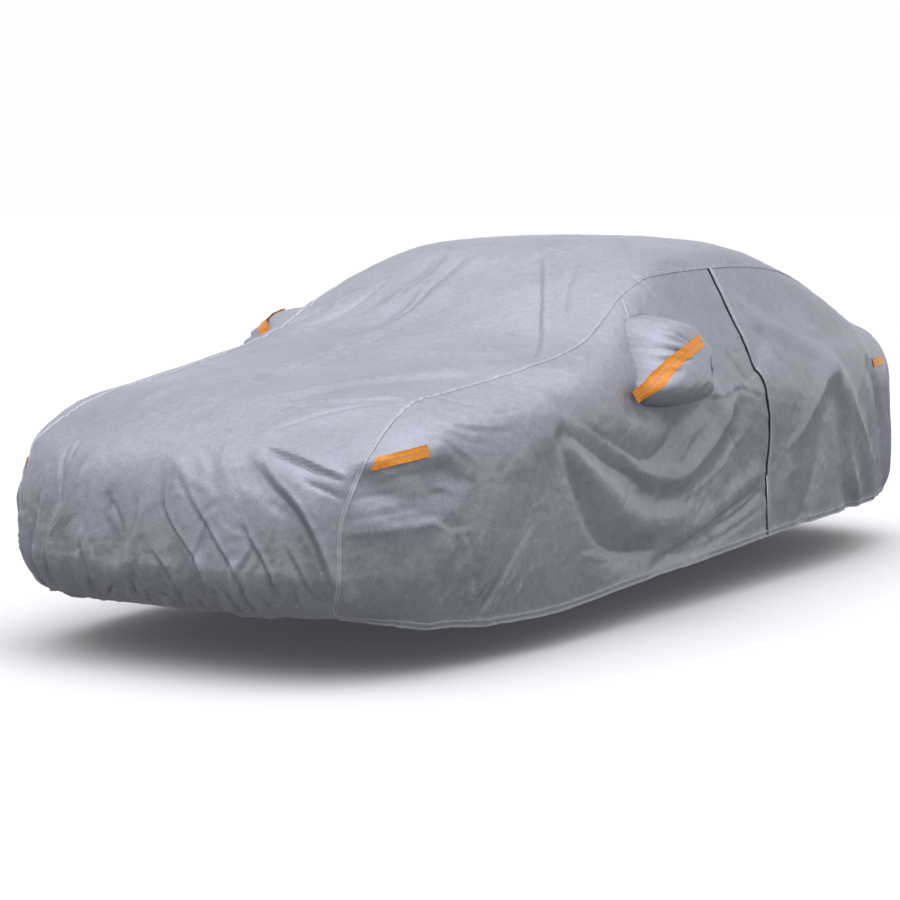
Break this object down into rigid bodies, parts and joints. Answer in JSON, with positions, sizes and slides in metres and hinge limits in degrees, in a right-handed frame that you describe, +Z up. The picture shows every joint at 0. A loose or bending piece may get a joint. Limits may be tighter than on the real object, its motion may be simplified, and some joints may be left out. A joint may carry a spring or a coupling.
{
  "type": "car cover",
  "caption": "Hollow fitted outdoor cloth cover in the shape of a saloon body, with mirror pockets, a side zip, reflective strips and an elastic hem.",
  "frame": {"origin": "just under the highest point of the roof, on the middle plane, where the cover rests on what it covers", "axes": "+X to the front, +Y to the left side with the zip, +Z up"},
  "size_m": [4.9825, 2.1142, 1.3268],
  "materials": {
    "cover_cloth": "semi-gloss coated",
    "zip_chain": "satin",
    "zip_flap": "semi-gloss coated",
    "reflective_tape": "satin"
  },
  "bodies": {
    "root": {"centre_panel": "cover_cloth", "left_front_panel": "cover_cloth", "left_rear_panel": "cover_cloth", "right_side_panel": "cover_cloth", "left_mirror_pocket": "cover_cloth", "right_mirror_pocket": "cover_cloth", "zip_chain": "zip_chain", "zip_flap": "zip_flap", "strip_front_left": "reflective_tape", "strip_front_right": "reflective_tape", "strip_pocket_left": "reflective_tape", "strip_pocket_right": "reflective_tape", "strip_rear_left": "reflective_tape", "strip_rear_right": "reflective_tape"}
  },
  "joints": []
}
